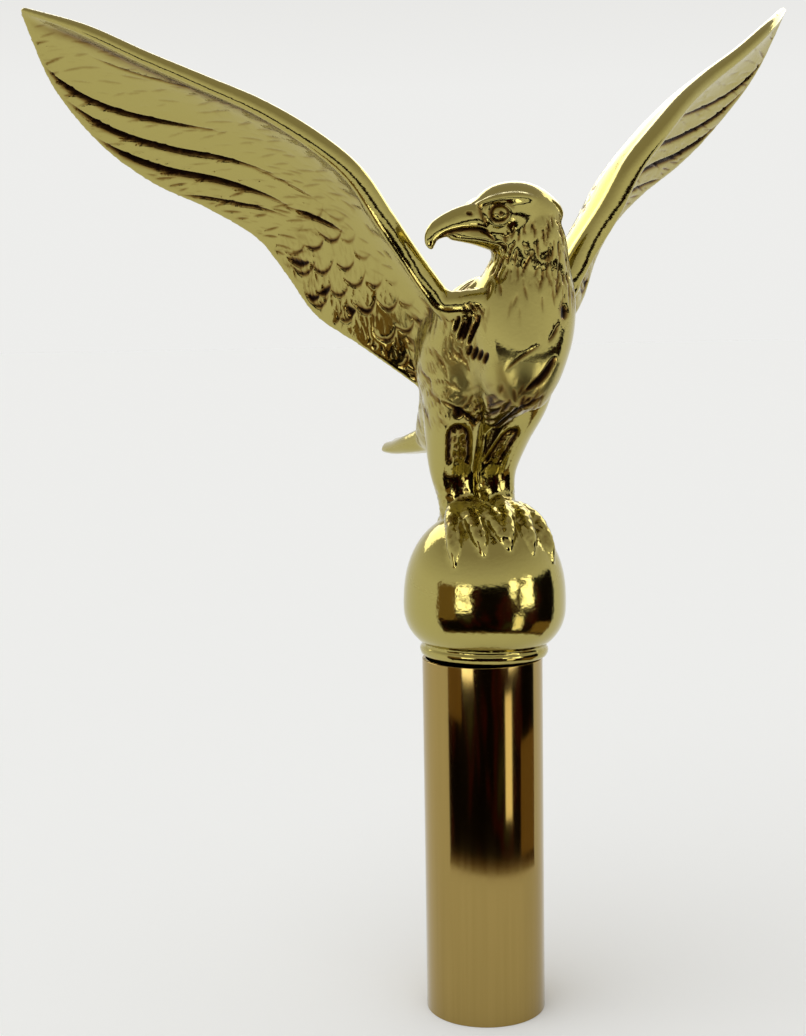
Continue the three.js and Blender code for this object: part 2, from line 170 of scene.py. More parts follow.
def turned(outline, around=160):
    """Turned piece from a closed or axis-to-axis outline of (radius, height)."""
    outline = np.asarray(outline, float)
    angle = np.linspace(0, 2 * math.pi, around, endpoint=False)
    rings = np.stack(
        [
            outline[:, 0][:, None] * np.cos(angle),
            outline[:, 0][:, None] * np.sin(angle),
            outline[:, 1][:, None] * np.ones(around),
        ],
        -1,
    )
    return skin(rings)


def ball_outline(steps=60):
    """Radius and height of the ball from the crease up to its top."""
    lower = -math.asin(crease_share ** (BALL_FULLNESS / 2))
    angle = np.linspace(lower, math.pi / 2, steps)
    c, s = np.cos(angle), np.sin(angle)
    c[-1] = 0
    height = np.abs(s) ** (2 / BALL_FULLNESS) * np.where(s < 0, -BALL_LOWER, BALL_UPPER)
    return np.stack([BALL_RADIUS * np.maximum(c, 1e-9) ** (2 / BALL_FULLNESS), ball_z + height], -1)


def collar_outline():
    """Radius and height of the bead between tube and ball, from its lip up to the crease."""
    lip, bead = TUBE_RADIUS + COLLAR_SEAT, TUBE_RADIUS + COLLAR_SWELL
    points = [
        (lip, LIP_Z),
        (mix(lip, bead, 0.7), LIP_Z + COLLAR_HEIGHT * 0.25),
        (bead, LIP_Z + COLLAR_HEIGHT * 0.6),
        (mix(bead, crease_radius, 0.4), LIP_Z + COLLAR_HEIGHT * 0.88),
        (crease_radius, crease_z),
    ]
    return through(points, np.linspace(0, 1, 24))


def stand():
    """Spigot, collar and ball as one turned piece."""
    low = LIP_Z - SPIGOT_LENGTH
    spigot = [(0.01, low), (SPIGOT_RADIUS - 0.6, low), (SPIGOT_RADIUS, low + 0.6), (SPIGOT_RADIUS, LIP_Z)]
    ball = ball_outline()
    ball[-1, 0] = 0.01
    return turned(np.concatenate([spigot, collar_outline(), ball[1:]]))


# Stations as centre, half width and half depth: the torso from the rump to the head, then the breast
torso_stations = [
    (at(0, 22, 16.5), 6.5, 2.6),
    (at(0, 13, 20.5), 10, 6),
    (at(0.8, 2.5, 28), 13.4, 10),
    (at(1.2, -5, 37), 17, 12.5),
    (at(2, -12.4, 44), 15.6, 11.2),
    (at(4.9, -18.6, 50), 10, 8.4),
    (at(4.3, -20.6, 56), 8.4, 8.2),
    (at(3.4, -21.5, 62), 7.8, 7.4),
    (at(2, -21.5, 67), 6, 6),
]

breast_stations = [
    (at(4.3, -20.2, 57), 8.3, 8.4),
    (at(3.9, -19.4, 51), 10.7, 10.8),
    (at(3, -18.2, 45), 11.6, 13.2),
    (at(2.2, -17, 40), 11, 15.2),
    (at(1.4, -15.6, 36.4), 9.8, 15.8),
    (at(0.8, -13.8, 33.4), 8, 14.2),
    (at(0.3, -11.6, 29), 5.6, 10.4),
    (at(-0.3, -9.4, 23.5), 2.2, 4.4),
]


def shoulder_roll(hand):
    """The roll that carries a wing's leading edge on to the foot of the neck."""
    return body(
        [
            (at(hand * 16.4, -15.4, 53 + hand * 0.8), 2.3, 2.3),
            (at(hand * 13, -15.8, 49.4 + hand * 0.8), 2.9, 2.9),
            (at(hand * 9.4, -18.4, 48.4), 3.1, 3.1),
            (at(hand * 5, -20.8, 48.8), 3, 3),
            (at(hand * -1, -22, 50), 2.6, 2.6),
        ],
        (0, 1, 0),
    )


turn = math.radians(HEAD_TURN)
ahead = np.array([-math.sin(turn), -math.cos(turn), 0])
beside = np.array([-ahead[1], ahead[0], 0])
head_centre = at(1.4, -21, 66.6)


def on_head(forward, left, up):
    """A point of the head: forward along the face, to its left, and up."""
    return head_centre + ahead * forward + beside * left + np.array([0, 0, up])


def head():
    """Skull, upper beak, lower beak, brows and eyes."""
    yield body(
        [
            (on_head(-7.6, 0, -2.2), 3.4, 3.4),
            (on_head(-5.8, 0, -1), 6, 5.6),
            (on_head(-0.6, 0, 0.3), 7, 6.9),
            (on_head(4.6, 0, 0.4), 6.2, 6.2),
            (on_head(9, 0, -0.6), 4.2, 4.1),
            (on_head(11, 0, -1.2), 3, 3.2),
        ],
        beside,
    )
    yield body(
        [
            (on_head(8, 0, -0.8), 3.4, 3.7),
            (on_head(12.4, 0, -1.1), 2.7, 3.1),
            (on_head(16.6, 0, -2.2), 2.3, 2.5),
            (on_head(19.8, 0, -3.8), 1.8, 1.9),
            (on_head(20.9, 0, -6), 1.2, 1.3),
            (on_head(20.4, 0, -7.6), 0.4, 0.5),
        ],
        beside,
    )
    yield body(
        [
            (on_head(4, 0, -5.4), 4, 2.4),
            (on_head(10.5, 0, -4.8), 2.4, 1.4),
            (on_head(16.4, 0, -4.7), 1.2, 0.7),
        ],
        beside,
        rings=30,
    )
    for hand in (-1, 1):
        yield body(
            [
                (on_head(11.6, hand * 2.4, 1.8), 0.5, 0.5),
                (on_head(7.8, hand * 4.4, 3), 1.1, 1),
                (on_head(3, hand * 5.8, 3.4), 1.2, 1.1),
                (on_head(-2, hand * 6, 2.8), 0.5, 0.5),
            ],
            beside,
            rings=30,
            around=24,
        )
        yield eyeball(on_head(7.6, hand * 4.1, 0), EYEBALL)


def leg(hand):
    """Feathered thigh and shin, from the flank down into the ball."""
    return body(
        [
            (at(hand * 7.6 + 1, -7.6, 37), 6.8, 9.8),
            (at(hand * 7.1 + 0.8, -4.6, 30), 7.2, 9.2),
            (at(hand * 5.7 + 0.4, -0.4, 22), 6.7, 8),
            (at(hand * 4.6 + 0.4, 2.7, 13), 5.7, 5.8),
            (at(hand * 4.3 + 1.2, 2.6, 6), 4.7, 4.8),
            (at(hand * 4.4 + 1.4, 1.6, 1.5), 4.4, 5),
            (at(hand * 4.4 + 1.6, 1, -3), 4.4, 5),
        ]
    )


# Front toes as place beside the ankle in mm and heading in degrees, then the hind toe's heading and the
# reach of both kinds in mm
TOES = [(1.6, 28), (-0.3, 8), (-2.3, -7)]
HIND_TOE = 172
TOE_REACH, HIND_REACH = 17, 15
FOOT_SPREAD = 4.4


def toe(hand, aside, heading, reach):
    """A toe over the ball, from the ankle to its claw."""
    angle = math.radians(heading * hand)
    start = np.array([hand * (FOOT_SPREAD + aside), 0])
    way = np.array([math.sin(angle), -math.cos(angle)])

    def place(run, over):
        flat = start + way * run
        polar = min(math.hypot(*flat) / BALL_RADIUS, 1.35)
        facing = math.atan2(flat[1], flat[0])
        out = math.sin(polar) ** (2 / BALL_FULLNESS) * BALL_RADIUS + over * math.sin(polar)
        rise = math.cos(polar) ** (2 / BALL_FULLNESS) * BALL_UPPER + over * math.cos(polar)
        return np.array([out * math.cos(facing), out * math.sin(facing), ball_z + rise])

    return body(
        [
            (place(0, 1.2), 2.1, 2),
            (place(reach * 0.3, 0.9), 2.1, 1.9),
            (place(reach * 0.55, 0.5), 1.9, 1.7),
            (place(reach * 0.78, 0.3), 1.6, 1.3),
            (place(reach * 0.9, 0.1), 1, 0.9),
            (place(reach * 1.08, -0.3), 0.4, 0.5),
        ],
        (-way[1], way[0], 0),
        rings=40,
        around=28,
    )


TAIL_FEATHERS = 7
TAIL_STEP = 0.5  # mm that each feather stands up


def tail():
    """Fan of overlapping feathers with a scalloped end."""
    t = np.linspace(0, 1, 90)[:, None]
    across = 90
    j = np.arange(2 * across)
    top = j < across
    s = np.where(top, 1 - 2 * j / across, -1 + 2 * (j - across) / across)[None]
    half = through([6, 8, 10, 11, 11.5], t[:, 0])[:, None]
    rib = np.abs(np.sin(TAIL_FEATHERS * math.pi * (s + 1) / 2))
    scallop = 1.6 * rib - 3.4 * s * s
    thick = through([4.4, 3.4, 2.6, 1.9, 1.2], t[:, 0])[:, None] + TAIL_STEP * rib
    thick = thick * np.sqrt(np.maximum(0.04, 1 - s**4))
    y = mix(12, 40, t) + scallop * smooth(t, 0.5, 1)
    z = through([21, 19, 17.5, 16.4, 16], t[:, 0])[:, None] - 1.5 * s * s + np.where(top, thick, -thick)
    rings = np.stack([half * s + 0 * y, y + 0 * z, z], -1)
    return skin((rings + at(0, 0, 0))[:, ::-1])


# The left wing's leading and trailing edges, from root to tip
LEAD = [
    at(4, -13, 43),
    at(12.6, -17.5, 51),
    at(19, -18, 60),
    at(25, -19.5, 68.5),
    at(31, -19.5, 77.5),
    at(39, -17, 85),
    at(48, -11.5, 92),
    at(58, -5, 98),
    at(69, 0.5, 104),
    at(80.5, 7.5, 111),
    at(91.5, 19.5, 117),
]
TRAIL = [
    at(5, 4, 24),
    at(15, 6, 33),
    at(24.2, 9.5, 40.8),
    at(32.4, 16.5, 48.3),
    at(38, 20, 58.3),
    at(44, 21, 66.6),
    at(54, 25, 73.8),
    at(65, 29, 80),
    at(76, 30, 89),
    at(85.6, 26.5, 101),
    at(91.5, 21, 115),
]
# Radius of the rolled edge and height of the bow at the same places, half thickness of the rim, mm
NOSE = [3.2, 3.2, 2.9, 2.7, 2.5, 2.3, 2.1, 1.9, 1.7, 1.5, 0.9]
CAMBER = [3, 4, 5, 5.5, 5, 4.5, 4, 3.4, 2.6, 1.6, 0.2]
RIM = 0.8
WRIST = 0.42  # share of the span
SPAN = 128  # mm along the wing


def wing_rings(hand, spans, chords, nose_steps):
    """The wing's bare surface as rings, with the share of span, share of chord and side of each point."""
    t = np.linspace(0, 1, spans)
    lead, trail = through(LEAD, t), through(TRAIL, t)
    later, sooner = np.minimum(1, t + 0.02), np.maximum(0, t - 0.02)
    along = through(LEAD, later) + through(TRAIL, later) - through(LEAD, sooner) - through(TRAIL, sooner)
    chord = trail - lead
    length = np.linalg.norm(chord, axis=1)
    chord /= length[:, None]
    dorsal = np.cross(along, chord)
    dorsal /= np.linalg.norm(dorsal, axis=1)[:, None]
    nose = np.minimum(through(NOSE, t), length * 0.3)
    rim = np.minimum(RIM, nose)
    camber = through(CAMBER, t)
    c = np.linspace(1, 0.005, chords)
    nose, rim, camber, length = (x[:, None] for x in (nose, rim, camber, length))
    bow = camber * np.sin(math.pi * c**0.75)
    run = nose + c * (length - nose - rim)
    above = bow + mix(rim, nose, (1 - c) ** 2.2)
    below = bow - (rim + (nose - rim) * np.exp(-((c / 0.1) ** 2)))
    angle = math.pi / 2 + math.pi * np.linspace(0, 1, nose_steps)
    run_all = np.concatenate([run, nose + nose * np.cos(angle), run[:, ::-1]], 1)
    lift_all = np.concatenate([above, nose * np.sin(angle), below[:, ::-1]], 1)
    points = lead[:, None] + chord[:, None] * run_all[..., None] + dorsal[:, None] * lift_all[..., None]
    share = np.concatenate([c, np.zeros(nose_steps), c[::-1]])
    side = np.concatenate([np.ones(chords), np.cos(angle - math.pi / 2), -np.ones(chords)])
    if hand < 0:
        points[..., 0] = -2 * FIGURE_ASIDE - points[..., 0]
    raise_by = math.radians(WING_RAISE)
    shoulder = at(0, 0, 43)
    turn_up = np.array(
        [
            [math.cos(raise_by), 0, -math.sin(raise_by)],
            [0, 1, 0],
            [math.sin(raise_by), 0, math.cos(raise_by)],
        ]
    )
    points = (points - shoulder) @ turn_up.T + shoulder
    return points, t, share, side


def wing(hand):
    """One raised wing, closed, faces out on either side."""
    points = wing_rings(hand, 160, 70, 16)[0]
    return skin(points if hand > 0 else points[:, ::-1])


def mesh_object(name, parts):
    """One object from several closed skins that run into each other."""
    points, faces, start = [], [], 0
    for verts, polygons in parts:
        points.append(verts)
        faces += [[v + start for v in f] for f in polygons]
        start += len(verts)
    mesh = bpy.data.meshes.new(name)
    mesh.from_pydata(np.concatenate(points).tolist(), [], faces)
    mesh.update()
    made = bpy.data.objects.new(name, mesh)
    bpy.context.scene.collection.objects.link(made)
    return made


def applied(made, kind, **settings):
    """The object's mesh with one modifier applied."""
    modifier = made.modifiers.new(kind, kind)
    for key, value in settings.items():
        setattr(modifier, key, value)
    graph = bpy.context.evaluated_depsgraph_get()
    mesh = bpy.data.meshes.new_from_object(made.evaluated_get(graph))
    made.modifiers.clear()
    made.data = mesh
    return mesh


def vertices_of(mesh):
    flat = np.empty(len(mesh.vertices) * 3, np.float32)
    mesh.vertices.foreach_get("co", flat)
    return flat.reshape(-1, 3).astype(float)


def normals_of(mesh):
    flat = np.empty(len(mesh.vertices) * 3, np.float32)
    mesh.vertex_normals.foreach_get("vector", flat)
    return flat.reshape(-1, 3).astype(float)


def edges_of(mesh):
    flat = np.empty(len(mesh.edges) * 2, np.int32)
    mesh.edges.foreach_get("vertices", flat)
    return flat.reshape(-1, 2)


def relaxed(values, edges, passes, share=0.6):
    """Each value moved towards the mean of its neighbours."""
    count = len(values)
    a, b = edges[:, 0], edges[:, 1]
    degree = np.maximum(1, np.bincount(a, minlength=count) + np.bincount(b, minlength=count))
    columns = values.reshape(count, -1).copy()
    for _ in range(passes):
        for k in range(columns.shape[1]):
            column = columns[:, k]
            total = np.bincount(a, column[b], count) + np.bincount(b, column[a], count)
            columns[:, k] = column + share * (total / degree - column)
    return columns.reshape(values.shape)


def softened(points, edges, centre, reach, passes):
    """Points near a place relaxed further, so that the forms that meet there run into each other."""
    share = 1 - smooth(np.linalg.norm((points - centre) / reach, axis=1), 0.55, 1)
    near = np.where(share > 0)[0]
    index = np.full(len(points), -1)
    index[near] = np.arange(len(near))
    inner = index[edges]
    inner = inner[(inner >= 0).all(1)]
    points[near] += share[near, None] * (relaxed(points[near], inner, passes) - points[near])
    return points


def chance(i, j, seed):
    """A fixed random share for each cell of a pattern."""
    wave = np.sin(i * 127.1 + j * 311.7 + seed * 74.7) * 43758.5453
    return wave - np.floor(wave)


def strokes(u, v, pitch, size, angle, seed, spread=16, curl=0.0, keep=1.0, jitter=0.7):
    """Depth, 0 to 1, of tapering chisel strokes scattered over u and v in mm.

    pitch is their spacing along u and v, size their length and half width, angle their heading from u.
    """
    deepest = np.zeros(len(u))
    column, row = np.floor(u / pitch[0]), np.floor(v / pitch[1])
    for i in (-1, 0, 1):
        for j in (-1, 0, 1):
            a, b = column + i, row + j
            heading = np.radians(angle + spread * (chance(a, b, seed) - 0.5) * 2)
            x = u - (a + 0.5 + 0.5 * (b % 2) + jitter * (chance(a, b, seed + 1) - 0.5)) * pitch[0]
            y = v - (b + 0.5 + jitter * (chance(a, b, seed + 2) - 0.5)) * pitch[1]
            along = x * np.cos(heading) + y * np.sin(heading)
            off = -x * np.sin(heading) + y * np.cos(heading) - curl * along**2
            half = size[0] * (0.35 + 0.3 * chance(a, b, seed + 3))
            taper = np.clip(1 - (along / half) ** 2, 0, 1)
            width = size[1] * (0.35 + 0.65 * taper)
            cut = np.exp(-((off / width) ** 2)) * np.sqrt(taper)
            deepest = np.maximum(deepest, np.where(chance(a, b, seed + 4) < keep, cut, 0))
    return deepest


# Gaps between the primaries on the wing's underside, each from near the wrist to the trailing edge:
# share of span at its start and end, share of chord at its start and end, bend, half width and depth in mm
SLITS = [
    (0.66, 0.88, 0.03, 0.33, 1.0, 0.3, 0.3),
    (0.62, 0.935, 0.40, 0.94, 1.5, 0.8, 1.0),
    (0.50, 0.885, 0.53, 0.955, 1.6, 0.85, 1.1),
    (0.45, 0.82, 0.66, 0.98, 1.4, 0.85, 1.1),
    (0.45, 0.66, 0.70, 0.99, 1.0, 0.45, 0.5),
    (0.41, 0.58, 0.45, 0.58, 0.7, 0.25, 0.25),
    (0.35, 0.47, 0.47, 0.66, 1.0, 0.55, 0.7),
]


def slit_line(t, start, end, first, last, bend):
    """Share of chord at which a gap lies, at each share of span."""
    share = np.clip((t - start) / (end - start), 0, 1)
    return first + (last - first) * share**bend


def slit(t, c, chord, start, end, first, last, bend, width, depth):
    """Depth in mm of one gap, steep towards the leading edge and easy behind."""
    off = (c - slit_line(t, start, end, first, last, bend)) * chord
    off = np.where(off < 0, off / 0.5, off / 1.5)
    reach = end - start
    fade = smooth(t, start, start + 0.45 * reach) * (1 - smooth(t, end - 0.22 * reach, end))
    return depth * fade * np.exp(-((off / (width * (0.3 + 0.7 * fade))) ** 2))


def underside(t, c, chord):
    """Height in mm of the feathers on the wing's underside over its bare surface."""
    u, v = t * SPAN, c * chord
    quill = smooth(t, WRIST - 0.1, WRIST + 0.06)
    rim = 1 - smooth(v, chord - 2.6, chord - 1.4)
    clear = smooth(v, 1.5, 3.4) * rim
    height = np.zeros(len(t))
    for row in SLITS:
        height -= slit(t, c, chord, *row)
    # Each primary stands up a little towards the next gap.
    for start, end, first, last, bend, *_ in SLITS[1:4]:
        off = (c - slit_line(t, start, end, first, last, bend)) * chord
        fade = smooth(t, start, start + 0.12) * (1 - smooth(t, end - 0.08, end))
        height += 0.35 * fade * np.where(off < 0, np.exp(off / 3.0), 0)
    # Hollow beneath the rolled leading edge.
    hollow = np.exp(-(((v - 4.0) / 1.5) ** 2)) * smooth(t, 0.16, 0.3) * (1 - smooth(t, 0.9, 1))
    height -= 0.2 * hollow
    barbs = strokes(u, v, (4.4, 2.7), (5.0, 0.34), 40, 3, keep=0.72)
    fine = strokes(u, v, (2.6, 1.7), (2.6, 0.2), 34, 11, keep=0.45)
    toward_edge = 0.6 + 0.7 * smooth(c, 0.35, 0.9)
    height -= clear * quill * toward_edge * (0.2 * barbs + 0.06 * fine)
    # Coverts: an arched brow over each feather tip, with barbs below it and pits between them.
    covert = 1 - smooth(t, WRIST - 0.04, WRIST + 0.04)
    low = smooth(c, 0.34, 0.6) * covert * smooth(t, 0.06, 0.14)
    brows = strokes(u, v, (6.2, 6.0), (7.6, 0.5), 62, 23, spread=10, curl=-0.16, jitter=0.35)
    below = strokes(u - 1.2, v - 1.4, (2.1, 1.7), (3.0, 0.32), 150, 31, keep=0.8)
    pits = strokes(u, v - 2.4, (6.2, 7.0), (5.6, 0.75), 56, 43, spread=24, curl=-0.1, keep=0.75)
    edge = smooth(c, 0.7, 0.84)
    height -= low * rim * (0.36 * brows + 0.14 * below * (0.4 + 0.6 * edge))
    height -= edge * low * rim * 0.6 * pits
    upper = covert * (1 - smooth(c, 0.3, 0.6)) * smooth(v, 4, 7)
    height -= upper * 0.16 * strokes(u, v, (4.2, 3.2), (4.6, 0.3), 28, 51, keep=0.6)
    return height


def upperside(t, c, chord):
    """The same for the wing's top, whose feathers are softer."""
    u, v = t * SPAN, c * chord
    rim = 1 - smooth(v, chord - 2.4, chord - 1.2)
    height = np.zeros(len(t))
    for start, end, first, last, bend, width, depth in SLITS[1:5]:
        height -= slit(t, c, chord, start, end, first, last, bend, width * 1.2, depth * 0.5)
    covert = 1 - smooth(t, WRIST - 0.04, WRIST + 0.06)
    wave = 0.5 - 0.5 * np.cos(2 * math.pi * u / 8)
    height += 0.4 * wave * smooth(c, 0.5, 0.9) * rim * smooth(t, 0.1, 0.2) * (1 - smooth(t, 0.85, 0.95))
    brows = strokes(u, v, (6.8, 6.4), (7.6, 0.6), 62, 61, spread=8, curl=-0.15, jitter=0.3)
    barbs = strokes(u, v, (3.2, 2.4), (3.4, 0.3), 36, 71, keep=0.7)
    body_side = smooth(t, 0.08, 0.18) * smooth(v, 3, 6)
    height -= body_side * rim * (0.3 * brows * covert + 0.16 * barbs)
    return height


def wing_relief(points):
    """Height over the wings' bare surface at each vertex."""
    height = np.zeros(len(points))
    for hand in (-1, 1):
        grid, t, share, side = wing_rings(hand, 300, 110, 24)
        around = len(share)
        flat = grid.reshape(-1, 3)
        tree = KDTree(len(flat))
        for index, point in enumerate(flat.tolist()):
            tree.insert(point, index)
        tree.balance()
        low, high = flat.min(0) - 1, flat.max(0) + 1
        near = np.where(((points > low) & (points < high)).all(1))[0]
        found = [tree.find(p) for p in points[near].tolist()]
        index = np.array([f[1] for f in found])
        gap = np.array([f[2] for f in found])
        i, j = index // around, index % around
        # Local steps along the span and across the chord, to place each vertex between the grid's points.
        i0, i1 = np.maximum(i - 1, 0), np.minimum(i + 1, len(t) - 1)
        j0, j1 = np.maximum(j - 1, 0), np.minimum(j + 1, around - 1)
        du = grid[i1, j] - grid[i0, j]
        dv = grid[i, j1] - grid[i, j0]
        off = points[near] - flat[index]
        dt, dc = t[i1] - t[i0], share[j1] - share[j0]
        uu, vv, uv = (du * du).sum(1), (dv * dv).sum(1), (du * dv).sum(1)
        ru, rv = (off * du).sum(1), (off * dv).sum(1)
        det = np.maximum(uu * vv - uv * uv, 1e-9)
        a = np.clip((ru * vv - rv * uv) / det, -0.6, 0.6)
        b = np.clip((rv * uu - ru * uv) / det, -0.6, 0.6)
        here, over = t[i] + a * dt, np.clip(share[j] + b * dc, 0, 1)
        lead, trail = through(LEAD, here), through(TRAIL, here)
        chord = np.linalg.norm(trail - lead, axis=1)
        belongs = 1 - smooth(gap, 0.5, 1.6)
        under = side[j] < 0
        value = np.where(under, underside(here, over, chord), upperside(here, over, chord))
        fade = smooth(over, 0.02, 0.06) * smooth(here, 0.03, 0.1) * (1 - smooth(here, 0.965, 0.99))
        height[near] += belongs * fade * value
    return height


def torso_relief(points):
    """Tufts on the neck and breast as scattered cuts, and laps of feathers on the flanks."""
    stations = np.array([s[0] for s in torso_stations])
    line = through(stations, np.linspace(0, 1, 400))
    wide = through([s[1] for s in torso_stations], np.linspace(0, 1, 400))
    deep = through([s[2] for s in torso_stations], np.linspace(0, 1, 400))
    low, high = line.min(0) - 18, line.max(0) + 12
    near = np.where(((points > low) & (points < high)).all(1))[0]
    spot = points[near]
    gap = np.full(len(near), 1e9)
    place = np.zeros(len(near), int)
    for k in range(0, 400, 4):
        d = np.linalg.norm(spot - line[k], axis=1)
        closer = d < gap
        gap[closer] = d[closer]
        place[closer] = k
    share = place / 399
    reach = np.linalg.norm(np.diff(line, axis=0), axis=1).sum()
    widest = np.maximum(wide, deep)[place]
    inside = 1 - smooth(gap, 1.06 * widest, 1.2 * widest)
    # The run along the neck from the breast up, and the way round it, both in mm.
    u = share * reach
    step = spot - line[place]
    turn_round = np.arctan2(step[:, 0], -step[:, 1])
    v = turn_round * 8
    neck = smooth(share, 0.6, 0.72) * (1 - smooth(share, 0.93, 0.97))
    breast = smooth(share, 0.45, 0.6) * (1 - smooth(share, 0.68, 0.76))
    value = -0.32 * neck * strokes(u, v, (3.6, 1.8), (4.4, 0.3), 12, 81, spread=14, keep=0.62)
    value -= 0.2 * neck * strokes(u, v, (2.0, 1.2), (2.2, 0.2), -8, 87, spread=24, keep=0.6)
    value -= 0.2 * breast * strokes(u, v, (4.6, 3.2), (4.4, 0.26), 18, 91, spread=20, keep=0.6)
    # Flanks and back: overlapping feathers as arched cuts about 5 mm apart.
    flank = smooth(np.abs(turn_round - 0.1), 0.75, 1.15) * smooth(share, 0.08, 0.16)
    flank *= 1 - smooth(share, 0.6, 0.75)
    w = turn_round * np.maximum(wide, deep)[place]
    value -= 0.22 * flank * strokes(u, w, (5.2, 5.0), (5.6, 0.5), 90, 95, spread=10, curl=0.2, jitter=0.3)
    value -= 0.16 * flank * strokes(u, w, (2.8, 2.0), (3.0, 0.32), 14, 97, spread=16, keep=0.7)
    height = np.zeros(len(points))
    height[near] = inside * value
    return height


def grain(points, size, seed=5):
    """Smooth random value, -1 to 1, that varies over about size mm."""
    place = points / size
    low = np.floor(place)
    share = place - low
    share = share * share * (3 - 2 * share)
    total = np.zeros(len(points))
    for i in (0, 1):
        for j in (0, 1):
            for k in (0, 1):
                corner = low + (i, j, k)
                weight = 1.0
                for axis, end in enumerate((i, j, k)):
                    weight = weight * (share[:, axis] if end else 1 - share[:, axis])
                total += weight * chance(corner[:, 0] + 17 * corner[:, 2], corner[:, 1], seed)
    return 2 * total - 1


def cut(points, normals, line, width, depth, facing, steep=1.0):
    """A tapering groove along a line of points, carved straight in from one side."""
    facing = np.asarray(facing, float) / np.linalg.norm(facing)
    line = through(line, np.linspace(0, 1, 25))
    near = np.where((normals @ facing > 0.15) & (np.abs((points - line.mean(0)) @ facing) < 9))[0]
    flat = points[near] - np.outer(points[near] @ facing, facing)
    path = line - np.outer(line @ facing, facing)
    best, where = np.full(len(near), 1e9), np.zeros(len(near))
    for k in range(len(path) - 1):
        step = path[k + 1] - path[k]
        share = np.clip(((flat - path[k]) @ step) / (step @ step), 0, 1)
        gap = np.linalg.norm(flat - path[k] - share[:, None] * step, axis=1)
        closer = gap < best
        best[closer] = gap[closer]
        where[closer] = (k + share[closer]) / (len(path) - 1)
    taper = np.sqrt(np.clip(4 * where * (1 - where), 0, 1)) ** steep
    height = np.zeros(len(points))
    height[near] = -depth * taper * np.exp(-((best / (width * (0.4 + 0.6 * taper))) ** 2))
    return height


def ring_cut(points, normals, centre, radius, width, depth, facing):
    """A round groove about a centre, carved straight in from one side."""
    facing = np.asarray(facing, float) / np.linalg.norm(facing)
    off = points - centre
    gap = np.linalg.norm(off - np.outer(off @ facing, facing), axis=1) - radius
    shown = (normals @ facing > 0.1) & (np.abs(off @ facing) < 5)
    return np.where(shown, -depth * np.exp(-((gap / width) ** 2)), 0)


def head_relief(points, normals):
    """Ringed eyes with pupils, the line of the mouth and the nostrils, on both sides."""
    height = np.zeros(len(points))
    for hand in (-1, 1):
        out = beside * hand
        eye = on_head(7.6, hand * 4.1, 0)
        height += ring_cut(points, normals, eye, 1.75, 0.28, 0.4, out)
        height += ring_cut(points, normals, eye, 0.0, 0.55, 0.45, out)
        height -= ring_cut(points, normals, eye, 2.35, 0.35, 0.22, out)
        mouth = [(20.6, -6.2), (17.6, -4.2), (13.4, -3.3), (9.8, -3.4), (7.4, -5.4)]
        line = [on_head(forward, hand * 3, up) for forward, up in mouth]
        height += cut(points, normals, line, 0.34, 0.6, out, 0.5)
        nostril = [on_head(13.8, hand * 3, 0.1), on_head(12.4, hand * 3, -0.1)]
        height += cut(points, normals, nostril, 0.4, 0.5, out, 0.5)
        crease = [on_head(11.4, hand * 3, 2.4), on_head(10.6, hand * 3, -0.6), on_head(9.4, hand * 3, -2.8)]
        height += cut(points, normals, crease, 0.4, 0.3, out)
        lid = [on_head(10.6, hand * 4, 1.2), on_head(7.6, hand * 4, 2.3), on_head(4.6, hand * 4, 1.4)]
        height += cut(points, normals, lid, 0.32, 0.35, out)
    return height


# Feathered patches on the thighs: place across and up the figure, half width in mm, and slant
THIGH_PATCHES = [(-7.5, 18, 2.3, 0), (3.1, 18, 1.5, 0.62)]


def leg_relief(points, normals):
    """An arched patch of small feathers on each thigh, and the rough skin of the feet."""
    height = np.zeros(len(points))
    facing = np.array([-0.34, -0.94, 0])
    right_way = np.array([0.94, -0.34, 0])
    for x, z, half, slant in THIGH_PATCHES:
        off = points - at(x, -9.5, z)
        v = off[:, 2]
        u = off @ right_way - slant * v
        shown = (normals @ facing > 0.2) & (np.abs(off @ facing) < 8)
        arch = np.where(v > 1.6, np.hypot(u, (v - 1.6) * 0.85), np.abs(u))
        low = smooth(v, -4.6, -3.4)
        border = np.exp(-(((arch - half) / 0.4) ** 2)) * low
        inside = (1 - smooth(arch, half - 0.5, half)) * low
        barbs = strokes(v, u, (1.7, 1.1), (1.8, 0.26), 10, 101, spread=25)
        height += np.where(shown, -border * (0.45 + 0.15 * barbs) - inside * (0.06 + 0.28 * barbs), 0)
    z = points[:, 2]
    feet = smooth(z, ball_top - 9, ball_top - 5) * (1 - smooth(z, ball_top + 3, ball_top + 7))
    out = np.hypot(points[:, 0], points[:, 1])
    profile = ball_outline(200)
    level = np.interp(z, profile[:, 1], profile[:, 0])
    proud = smooth(out - np.where(z > ball_top, 0, level), 0.25, 0.7)
    height += 0.16 * feet * proud * grain(points, 0.9) + 0.1 * feet * proud * grain(points, 0.5, 9)
    return height


# Long cuts, most of them on the left of the breast: how far forward the line is drawn, its places across
# and up the figure, half width and depth, in mm
BREAST_CUTS = [
    (-28, [(7.2, 37.5), (4.6, 33.6), (0.8, 30.5)], 0.62, 0.9),
    (-28, [(3.8, 40), (-0.6, 37.3), (-3.9, 34.6)], 0.26, 0.35),
    (-24, [(10.3, 48.2), (10.6, 46.7), (10.4, 45.2)], 0.7, 0.6),
    (-26, [(8.6, 44.4), (7.6, 42.4), (6.2, 40.4)], 0.3, 0.4),
]
# Raking cuts under the end of the shoulder roll, then a tuft of them: place across and up, length, in mm
UNDER_ROLL = [
    (-12.4, 44.2, 3.4),
    (-11.3, 42.9, 4.2),
    (-10.1, 43.4, 5.2),
    (-9.0, 42.2, 4.6),
    (-8.0, 44.6, 3.2),
    (-9.6, 38.8, 2.2),
    (-8.4, 38.2, 2.8),
    (-7.2, 37.8, 2.2),
    (-6.0, 37.2, 2.4),
]
